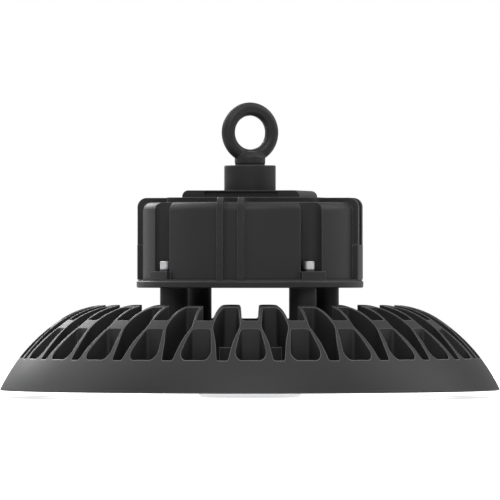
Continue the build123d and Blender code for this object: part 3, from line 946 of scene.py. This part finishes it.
def revolved(name: str, outline: list[tuple[float, float]], sides: int) -> bpy.types.Mesh:
    """Turn an outline about Z into a closed mesh.

    Args:
        name: The mesh's name.
        outline: (radius, height) points, closed on itself or from the axis round to the axis.
        sides: Number of divisions round the axis.

    Returns:
        The mesh, centred on Z.
    """
    work = bmesh.new()
    points = [work.verts.new((radius, 0.0, height)) for radius, height in outline]
    edges = [work.edges.new(pair) for pair in zip(points, points[1:])]
    bmesh.ops.spin(
        work,
        geom=points + edges,
        cent=(0, 0, 0),
        axis=(0, 0, 1),
        angle=math.tau,
        steps=sides,
        use_merge=True,
    )
    bmesh.ops.remove_doubles(work, verts=work.verts, dist=JOIN_DISTANCE)
    bmesh.ops.recalc_face_normals(work, faces=work.faces)
    return finished_mesh(work, name)


@cache
def ring_of_copies() -> bpy.types.NodeTree:
    """Geometry tree that repeats a unit piece on a circle about Z, turned outwards.

    Returns:
        The geometry node group, with inputs Unit, Count, Radius, First Angle, Height and Material.
    """
    graph = new_group(
        "ring_of_copies",
        "GeometryNodeTree",
        {
            "Unit": Kind.GEOMETRY,
            "Count": Kind.WHOLE,
            "Radius": Kind.NUMBER,
            "First Angle": Kind.NUMBER,
            "Height": Kind.NUMBER,
            "Material": Kind.MATERIAL,
        },
        {"Geometry": Kind.GEOMETRY},
    )
    given = graph.add("NodeGroupInput").outputs
    result = graph.add("NodeGroupOutput")
    circle = graph.add("GeometryNodeMeshCircle")
    graph.feed(circle, {"Vertices": given["Count"], "Radius": given["Radius"]})
    place = graph.add("ShaderNodeSeparateXYZ")
    graph.feed(place, {0: graph.add("GeometryNodeInputPosition").outputs["Position"]})
    heading = graph.math("ARCTAN2", place.outputs["Y"], place.outputs["X"])
    facing = graph.add("FunctionNodeEulerToRotation")
    graph.feed(facing, {0: graph.along_z(heading)})
    copies = graph.add("GeometryNodeInstanceOnPoints")
    graph.feed(copies, {"Points": circle.outputs["Mesh"], "Instance": given["Unit"]})
    graph.feed(copies, {"Rotation": facing.outputs[0]})
    placed = graph.add("GeometryNodeTransform")
    graph.feed(
        placed,
        {
            "Geometry": copies.outputs["Instances"],
            "Translation": graph.along_z(given["Height"]),
            "Rotation": graph.along_z(given["First Angle"]),
        },
    )
    solid = graph.add("GeometryNodeRealizeInstances")
    graph.feed(solid, {"Geometry": placed.outputs["Geometry"]})
    painted = graph.add("GeometryNodeSetMaterial")
    graph.feed(painted, {"Geometry": solid.outputs["Geometry"], "Material": given["Material"]})
    graph.feed(result, {"Geometry": painted.outputs["Geometry"]})
    return graph.tree


@dataclass(frozen=True)
class Ring:
    """Where the copies of a unit piece stand.

    Attributes:
        count: How many copies.
        radius: Radius of their circle, in metres.
        first_angle: Angle of the first copy from +X, in radians.
        height: Height of the unit's origin, in metres.
    """

    count: int
    radius: float
    first_angle: float = 0.0
    height: float = 0.0

    def repeat(self, name: str, unit: bpy.types.Mesh, finish: Finish) -> bpy.types.Object:
        """Repeat a unit mesh on this ring.

        Args:
            name: The new piece's name.
            unit: The unit's mesh, at the origin with +X outwards.
            finish: The finish of all copies.

        Returns:
            One object whose mesh holds all the copies.
        """
        piece = link_piece(name, unit, finish)
        modifier = piece.modifiers.new("ring", "NODES")
        modifier.node_group = ring_of_copies()
        values = {
            "Count": self.count,
            "Radius": self.radius,
            "First Angle": self.first_angle,
            "Height": self.height,
            "Material": finish.material(),
        }
        for item in modifier.node_group.interface.items_tree:
            if item.item_type == "SOCKET" and item.name in values:
                modifier[item.identifier] = values[item.name]
        bake_modifiers(piece)
        return piece


# Sub-assemblies


@dataclass
class HeatSink:
    """The finned die casting, and the plate that its posts carry.

    Attributes:
        castings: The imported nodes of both.
    """

    castings: tuple[str, ...] = ("heat_sink", "driver_base")

    def build(self) -> None:
        """Give both castings their coat."""
        for node in self.castings:
            dress_node(node, COAT)


@dataclass
class DriverHousing:
    """The driver cover, the screws that hold it down and the seal under it.

    Attributes:
        screw_count: Screws round the cover.
        first_screw_angle: Angle of the first screw from +X, in radians.
        head_margin: How far the washer stands out past the head, in metres.
        groove_count: Flutes round each screw head.
        groove_depth: Depth of a flute, in metres.
        rim: Chamfer round the top of the head, in metres.
        socket_radius: Radius across the corners of the hexagon socket, in metres.
        socket_depth: Depth of the socket, in metres.
        shank_radius: Radius of the shank, in metres.
        shank_sides: Divisions round the shank.
        point_radius: Radius of the shank's end, in metres.
        point_height: Height of the taper at that end, in metres.
        screw_crease: Edges of a screw that turn by more than this stay sharp, in radians.
        seal_width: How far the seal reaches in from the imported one's edge, in metres.
        seal_inset: How far the seal's edge lies inside the base's edge, in metres.
        seal_bulge: How far the seal's edge is squeezed out, in metres.
        seal_sides: Divisions round the seal.
        seal_crease: Edges of the seal that turn by more than this stay sharp, in radians.
    """

    screw_count: int = 4
    first_screw_angle: float = math.radians(45)
    head_margin: float = 0.05 * MM
    groove_count: int = 32
    groove_depth: float = 0.07 * MM
    rim: float = 0.45 * MM
    socket_radius: float = 2.2 * MM
    socket_depth: float = 2.6 * MM
    shank_radius: float = 2.4 * MM
    shank_sides: int = 24
    point_radius: float = 2.2 * MM
    point_height: float = 0.3 * MM
    screw_crease: float = math.radians(35)
    seal_width: float = 4.0 * MM
    seal_inset: float = 0.9 * MM
    seal_bulge: float = 0.15 * MM
    seal_sides: int = 180
    seal_crease: float = math.radians(50)

    def build(self) -> None:
        """Dress the cover and its washers, and make its screws and its seal."""
        dress_node("driver_cover", COVER_COAT)
        self.build_screws()
        self.build_seal()
        # The washers' near-black colour is painted shade under the screw heads.
        dress_node("cover_lock_washers", WASHER_SHADE_STEEL)

    def washer_radius(self) -> float:
        """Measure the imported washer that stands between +X and +Y.

        Returns:
            Its radius, in metres.
        """
        mesh = frame["nodes"]["cover_lock_washers"].data
        across = [vert.co.x for vert in mesh.vertices if vert.co.x > 0 and vert.co.y > 0]
        return (max(across) - min(across)) / 2

    def head_ring(
        self, work: bmesh.types.BMesh, radius: float, level: float, fluted: bool
    ) -> list[bmesh.types.BMVert]:
        """Set the corners of one level of a screw head: two in each flute and two beside it.

        Args:
            work: The head's mesh so far.
            radius: Radius at this level, in metres.
            level: Height of this level, in metres.
            fluted: Whether the flutes cut this level.

        Returns:
            The corners, in order.
        """
        flute_floor = radius - self.groove_depth if fluted else radius
        return add_loop(work, [flute_floor, flute_floor, radius, radius] * self.groove_count, level)

    def add_socket(self, work: bmesh.types.BMesh, height: float) -> None:
        """Add the walls and the floor of the hexagon socket.

        Args:
            work: The head's mesh so far.
            height: Height of the head, in metres.
        """
        hexagon = [self.socket_radius] * 6
        mouth = add_loop(work, hexagon, height)
        well = add_loop(work, hexagon, height - self.socket_depth)
        add_wall(work, mouth, well)
        work.faces.new(well)

    def head_mesh(self, radius: float, height: float) -> bpy.types.Mesh:
        """Model one fluted cap head with a hexagon socket, standing on z = 0.

        Args:
            radius: Radius of the head, in metres.
            height: Height of the head, in metres.

        Returns:
            The head's closed mesh, on the Z axis.
        """
        work = bmesh.new()
        foot = self.rim / 3
        rings = [
            self.head_ring(work, radius - foot, 0.0, False),
            self.head_ring(work, radius, foot, True),
            self.head_ring(work, radius, height - self.rim, True),
            self.head_ring(work, radius - self.rim, height, False),
        ]
        for lower, upper in zip(rings, rings[1:]):
            add_wall(work, lower, upper)
        work.faces.new(list(reversed(rings[0])))
        self.add_socket(work, height)
        top_edges = [
            edge
            for edge in work.edges
            if all(abs(vert.co.z - height) < JOIN_DISTANCE for vert in edge.verts)
        ]
        bmesh.ops.bridge_loops(work, edges=top_edges)
        bmesh.ops.recalc_face_normals(work, faces=work.faces)
        return finished_mesh(work, "cap_head")

    def shank_mesh(self, length: float) -> bpy.types.Mesh:
        """Model one plain shank, standing on its tapered end at z = 0.

        Args:
            length: Length of the shank, in metres.

        Returns:
            The shank's closed mesh, on the Z axis.
        """
        outline = [
            (0.0, 0.0),
            (self.point_radius, 0.0),
            (self.shank_radius, self.point_height),
            (self.shank_radius, length),
            (0.0, length),
        ]
        return revolved("shank", outline, self.shank_sides)

    def build_screws(self) -> None:
        """Repeat the fluted head and its shank at the four channels."""
        low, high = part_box("cover_screws")
        washer_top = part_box("cover_lock_washers")[1].z
        head_radius = self.washer_radius() - self.head_margin
        ring_radius = math.hypot(high.x - head_radius, high.y - head_radius)
        head_ring = Ring(self.screw_count, ring_radius, self.first_screw_angle, washer_top)
        head = self.head_mesh(head_radius, high.z - washer_top)
        heads = head_ring.repeat("cap_heads", head, STEEL)
        shank = self.shank_mesh(washer_top - low.z)
        shanks = replace(head_ring, height=low.z).repeat("cap_shanks", shank, STEEL)
        screws = joined("fluted_cap_screws", [heads, shanks], STEEL)
        shade_round(screws, self.screw_crease)
        seat_piece(screws, STEEL, "cover_screws")

    def build_seal(self) -> None:
        """Fill the thin gap round the base with the squeezed-out edge of the seal."""
        low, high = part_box("driver_gasket")
        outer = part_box("driver_base")[1].x - self.seal_inset
        inner = high.x - self.seal_width
        outline = [
            (inner, low.z),
            (outer - self.seal_bulge, low.z),
            (outer, (low.z + high.z) / 2),
            (outer - self.seal_bulge, high.z),
            (inner, high.z),
            (inner, low.z),
        ]
        mesh = revolved("squeezed_seal", outline, self.seal_sides)
        seal = link_piece("squeezed_seal", mesh, RUBBER)
        shade_round(seal, self.seal_crease)
        seat_piece(seal, RUBBER, "driver_gasket")


@dataclass
class LiftingEye:
    """The forged eye, with its neck blended into the ring.

    Attributes:
        voxel: Size of the grid that the forging is blended on, in metres.
        smoothing: How many times the blended surface is relaxed.
        relaxing: How far each time moves it, as a share.
        wire_radius: Radius of the ring's wire, in metres.
        wire_tolerance: How near the wire's surface a corner of the ring lies, in metres.
        swell: How much thicker the forged wire is, in metres.
    """

    voxel: float = 0.42 * MM
    smoothing: int = 5
    relaxing: float = 0.5
    wire_radius: float = 3.95 * MM
    wire_tolerance: float = 0.05 * MM
    swell: float = 0.35 * MM

    def build(self) -> None:
        """Blend the eye into one forging and dress what holds it."""
        piece = merged_copy("eye_bolt", "forged_eye", FORGED)
        self.fill_out(piece.data)
        remesh = piece.modifiers.new("blend", "REMESH")
        remesh.mode = "VOXEL"
        remesh.voxel_size = self.voxel
        relax = piece.modifiers.new("relax", "SMOOTH")
        relax.factor = self.relaxing
        relax.iterations = self.smoothing
        bake_modifiers(piece)
        piece.data.shade_smooth()
        piece.data.materials.clear()
        piece.data.materials.append(FORGED.material())
        seat_piece(piece, FORGED, "eye_bolt")
        dress_node("eye_seal", RUBBER)
        dress_node("eye_washer", STEEL)
        dress_node("eye_nut", STEEL)

    def fill_out(self, mesh: bpy.types.Mesh) -> None:
        """Swell the ring's wire inwards, as the forging is, and keep its outer size.

        Args:
            mesh: The eye's mesh, which is changed.
        """
        mount = next(item for item in frame["record"]["mounts"] if item["name"] == "hanging_eye")
        centre = Vector(mount["pos_m"])
        axis = Vector(mount["axis"]).normalized()
        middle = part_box("eye_bolt")[1].z - centre.z - self.wire_radius
        growth = (self.wire_radius + self.swell) / self.wire_radius
        for vert in mesh.vertices:
            along = (vert.co - centre).dot(axis)
            across = vert.co - centre - along * axis
            reach = across.length
            if abs(math.hypot(reach - middle, along) - self.wire_radius) < self.wire_tolerance:
                new_reach = middle - self.swell + (reach - middle) * growth
                vert.co = centre + along * growth * axis + across * (new_reach / reach)


@dataclass
class Optics:
    """LED board, lens and the ring that holds the lens.

    Attributes:
        ring_radii: Radii of the rings of emitters, in metres.
        ring_step: Spacing of the rings, in metres.
        per_step: Emitters added for each ring step.
        dome_radius: Radius of one lens dome, in metres.
        dome_drop: How far a dome stands below the lens, in metres.
        dome_root: How far a dome reaches into the lens, in metres.
        dome_steps: Divisions from a dome's edge to its tip.
        dome_sides: Divisions round a dome.
        dome_crease: Edges of a dome that turn by more than this stay sharp, in radians.
    """

    ring_radii: tuple[float, ...] = (50 * MM, 72 * MM, 94 * MM, 116 * MM)
    ring_step: float = 22 * MM
    per_step: int = 6
    dome_radius: float = 6.2 * MM
    dome_drop: float = 2.6 * MM
    dome_root: float = 0.2 * MM
    dome_steps: int = 6
    dome_sides: int = 24
    dome_crease: float = math.radians(40)

    def build(self) -> None:
        """Dress the optics and add the lens domes."""
        dress_node("lens", OPAL)
        dress_node("bezel_ring", COAT)
        self.build_domes()
        dress_node("bezel_screws", STEEL)
        dress_node("board_screws", STEEL)
        dress_node("lens_gasket", SILICONE)
        dress_node("led_board", WHITE_BOARD)
        dress_node("led_chips", PHOSPHOR)

    def dome_mesh(self) -> bpy.types.Mesh:
        """Model one shallow dome that hangs from z = 0.

        Returns:
            The dome's closed mesh.
        """
        outline = [(0.0, self.dome_root), (self.dome_radius, self.dome_root)]
        for step in range(self.dome_steps):
            angle = math.pi / 2 * step / self.dome_steps
            outline.append((self.dome_radius * math.cos(angle), -self.dome_drop * math.sin(angle)))
        outline.append((0.0, -self.dome_drop))
        return revolved("lens_dome", outline, self.dome_sides)

    def build_domes(self) -> None:
        """Hang a dome under each emitter."""
        lens_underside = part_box("bezel_ring")[1].z
        rings = []
        for index, radius in enumerate(self.ring_radii):
            count = self.per_step * round(radius / self.ring_step)
            ring = Ring(count, radius, height=lens_underside)
            rings.append(ring.repeat(f"dome_ring_{index}", self.dome_mesh(), OPAL))
        domes = joined("lens_domes", rings, OPAL)
        shade_round(domes, self.dome_crease)
        seat_piece(domes, OPAL)


@dataclass
class Driver:
    """The driver board, its components and leads, and the screws of its base.

    Attributes:
        finishes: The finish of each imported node.
    """

    finishes: dict[str, Finish] = field(
        default_factory=lambda: {
            "base_screws": STEEL,
            "lead_grommet": RUBBER,
            "led_leads": INSULATION,
            "board_spacers": BRASS,
            "driver_board": GREEN_BOARD,
            "driver_board_screws": STEEL,
            "transformer": FERRITE,
            "choke": COPPER_COIL,
            "bulk_capacitors": NYLON,
            "film_capacitor": RED_RESIN,
            "power_cooler": ALUMINIUM,
            "power_transistors": NYLON,
            "terminal_block": GREEN_NYLON,
        }
    )

    def build(self) -> None:
        """Give each hidden node its finish."""
        for node, finish in self.finishes.items():
            dress_node(node, finish)


@dataclass
class CableInlet:
    """The cable inlet at the back of the cover.

    Attributes:
        grip_count: Grip ribs round the nut.
        grip_width: Width of a rib, in metres.
        grip_height: How far a rib stands out, in metres.
        grip_root: How far a rib reaches into the nut, in metres.
        grip_length: Length of a rib, in metres.
        grip_start: From the nut's inner end to the ribs, in metres.
    """

    grip_count: int = 18
    grip_width: float = 1.2 * MM
    grip_height: float = 0.5 * MM
    grip_root: float = 0.4 * MM
    grip_length: float = 7.5 * MM
    grip_start: float = 1.0 * MM

    def build(self) -> None:
        """Dress the inlet and put grip ribs on its nut."""
        dress_node("inlet_washer", RUBBER)
        dress_node("inlet_sleeve", RUBBER)
        dress_node("inlet_body", NYLON)
        dress_node("inlet_nut", NYLON)
        self.build_grips()

    def grip_mesh(self) -> bpy.types.Mesh:
        """Model one rib with a rounded back, lying along Z and rising along X.

        Returns:
            The rib's closed mesh.
        """
        half = self.grip_width / 2
        section = (
            (-self.grip_root, -half),
            (self.grip_height / 2, -half),
            (self.grip_height, -half / 2),
            (self.grip_height, half / 2),
            (self.grip_height / 2, half),
            (-self.grip_root, half),
        )
        work = bmesh.new()
        near, far = (
            [work.verts.new((x, y, level)) for x, y in section] for level in (0.0, self.grip_length)
        )
        add_wall(work, near, far)
        work.faces.new(list(reversed(near)))
        work.faces.new(far)
        bmesh.ops.recalc_face_normals(work, faces=work.faces)
        return finished_mesh(work, "grip_rib")

    def build_grips(self) -> None:
        """Stand the ribs round the nut, whose axis runs along Y."""
        low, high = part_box("inlet_nut")
        radius = (high.z - low.z) / 2
        middle = (low.z + high.z) / 2
        grips = Ring(self.grip_count, radius).repeat("inlet_nut_grips", self.grip_mesh(), NYLON)
        along_y = Matrix.Rotation(math.radians(-90), 4, "X")
        seat = Matrix.Translation((0.0, low.y + self.grip_start, middle))
        grips.data.transform(seat @ along_y)
        seat_piece(grips, NYLON)


@dataclass(frozen=True)
class Lamp:
    """A square area lamp that faces the object.

    Attributes:
        name: The lamp's name.
        place: Its centre, in metres.
        side: Its side, in metres.
        power: Its power, in watts.
        aim_height: Height of the point that it faces, in metres.
    """

    name: str
    place: Place
    side: float
    power: float
    aim_height: float = 0.08

    def hang(self) -> None:
        """Put the lamp into the scene."""
        data = bpy.data.lights.new(self.name, "AREA")
        data.shape = "SQUARE"
        data.size = self.side
        data.energy = self.power
        lamp = bpy.data.objects.new(self.name, data)
        aim = Vector((0.0, 0.0, self.aim_height)) - Vector(self.place)
        lamp.rotation_euler = aim.to_track_quat("-Z", "Y").to_euler()
        lamp.location = self.place
        bpy.context.scene.collection.objects.link(lamp)


@dataclass
class Studio:
    """Floor, light and camera.

    Attributes:
        focal_length: Lens of the camera, in millimetres.
        sensor_width: Width of the camera's sensor, in millimetres.
        distance: From the light's axis to the camera, in metres.
        azimuth: Where the camera stands, in degrees from +X.
        eye_height: Height of the camera, in metres.
        shift: Upward shift of the view, as a share of the frame.
        sight: How far the camera sees, in metres.
        floor_radius: Radius of the floor, in metres.
        floor_sides: Divisions round the floor.
        floor_gap: How far the floor lies below the light, in metres.
        floor_colour: Base colour of the floor, linear.
        floor_roughness: Roughness of the floor.
        floor_lift: Glow that the floor shows to the camera.
        world_strength: Strength of the sky that lights the object.
        mirrored_share: Share of the background's glow that reflections see.
        lamps: One lamp overhead, one in front, one at each side and one behind the left.
    """

    focal_length: float = 641.0
    sensor_width: float = 36.0
    distance: float = 5.7
    azimuth: float = -79.8
    eye_height: float = 0.086
    shift: float = 0.026
    sight: float = 50.0
    floor_radius: float = 3.0
    floor_sides: int = 96
    floor_gap: float = 0.05 * MM
    floor_colour: Colour = (0.86, 0.86, 0.86)
    floor_roughness: float = 0.9
    floor_lift: float = 0.79
    world_strength: float = 0.16
    mirrored_share: float = 0.42
    lamps: tuple[Lamp, ...] = (
        Lamp("overhead", (0.0, -0.3, 1.7), side=2.2, power=18.0),
        Lamp("front_fill", (0.3, -1.9, 1.6), side=1.5, power=34.0),
        Lamp("left_side", (-1.4, 0.1, 1.2), side=1.3, power=16.0),
        Lamp("left_sheen", (-1.05, 1.5, 1.0), side=0.9, power=18.0),
        Lamp("right_side", (1.4, 0.4, 1.1), side=1.3, power=17.0),
    )

    def build(self) -> None:
        """Set the whole stage."""
        self.build_world()
        self.build_floor()
        for lamp in self.lamps:
            lamp.hang()
        self.build_camera()
        bpy.context.scene.view_settings.view_transform = "Standard"

    def seen_directly(self, graph: Graph) -> bpy.types.NodeSocket:
        """Tell rays that show the background from rays that light the object.

        Args:
            graph: The graph of the world or a material.

        Returns:
            A socket that is 1 for camera and transmitted rays, and less for reflections.
        """
        path = graph.add("ShaderNodeLightPath")
        mirrored = graph.math("MULTIPLY", path.outputs["Is Glossy Ray"], self.mirrored_share)
        shown = graph.math("MAXIMUM", path.outputs["Is Camera Ray"], mirrored)
        return graph.math("MAXIMUM", shown, path.outputs["Is Transmission Ray"])

    def build_world(self) -> None:
        """Make a sky that is white to look at and softer as a light."""
        world = bpy.data.worlds.new("studio_sky")
        world.use_nodes = True
        graph = Graph(world.node_tree)
        background = world.node_tree.nodes["Background"]
        strength = graph.spread(self.seen_directly(graph), self.world_strength, 1.0)
        graph.feed(background, {"Color": WHITE, "Strength": strength})
        bpy.context.scene.world = world

    def floor_material(self) -> bpy.types.Material:
        """Make a pale floor that keeps a soft shadow and looks white.

        Returns:
            The floor's material.
        """
        material = bpy.data.materials.new("studio_floor")
        material.use_nodes = True
        graph = Graph(material.node_tree)
        shader = material.node_tree.nodes["Principled BSDF"]
        lift = graph.math("MULTIPLY", self.seen_directly(graph), self.floor_lift)
        graph.feed(
            shader,
            {
                "Base Color": (*self.floor_colour, 1.0),
                "Roughness": self.floor_roughness,
                "Specular IOR Level": 0.0,
                "Emission Color": WHITE,
                "Emission Strength": lift,
            },
        )
        return material

    def build_floor(self) -> None:
        """Lay the floor under the lens."""
        work = bmesh.new()
        bmesh.ops.create_circle(
            work, cap_ends=True, radius=self.floor_radius, segments=self.floor_sides
        )
        mesh = finished_mesh(work, "studio_floor")
        mesh.transform(Matrix.Translation((0.0, 0.0, cad_box[0][2] - self.floor_gap)))
        mesh.materials.append(self.floor_material())
        floor = bpy.data.objects.new("studio_floor", mesh)
        bpy.context.scene.collection.objects.link(floor)

    def build_camera(self) -> None:
        """Stand the camera where the photograph was taken from."""
        data = bpy.data.cameras.new("camera")
        data.sensor_width = self.sensor_width
        data.lens = self.focal_length
        data.shift_y = self.shift
        data.clip_end = self.sight
        camera = bpy.data.objects.new("camera", data)
        bearing = math.radians(self.azimuth)
        camera.location = (
            self.distance * math.cos(bearing),
            self.distance * math.sin(bearing),
            self.eye_height,
        )
        camera.rotation_euler = (math.radians(90), 0.0, bearing + math.radians(90))
        bpy.context.scene.collection.objects.link(camera)
        bpy.context.scene.camera = camera


def main() -> None:
    """Build each sub-assembly, then the studio."""
    logging.basicConfig(level=logging.INFO, format="%(name)s: %(message)s")
    order = (HeatSink, DriverHousing, LiftingEye, Optics, Driver, CableInlet, Studio)
    for assembly in order:
        LOG.info("building %s", assembly.__name__)
        assembly().build()


if __name__ == "__main__":
    main()
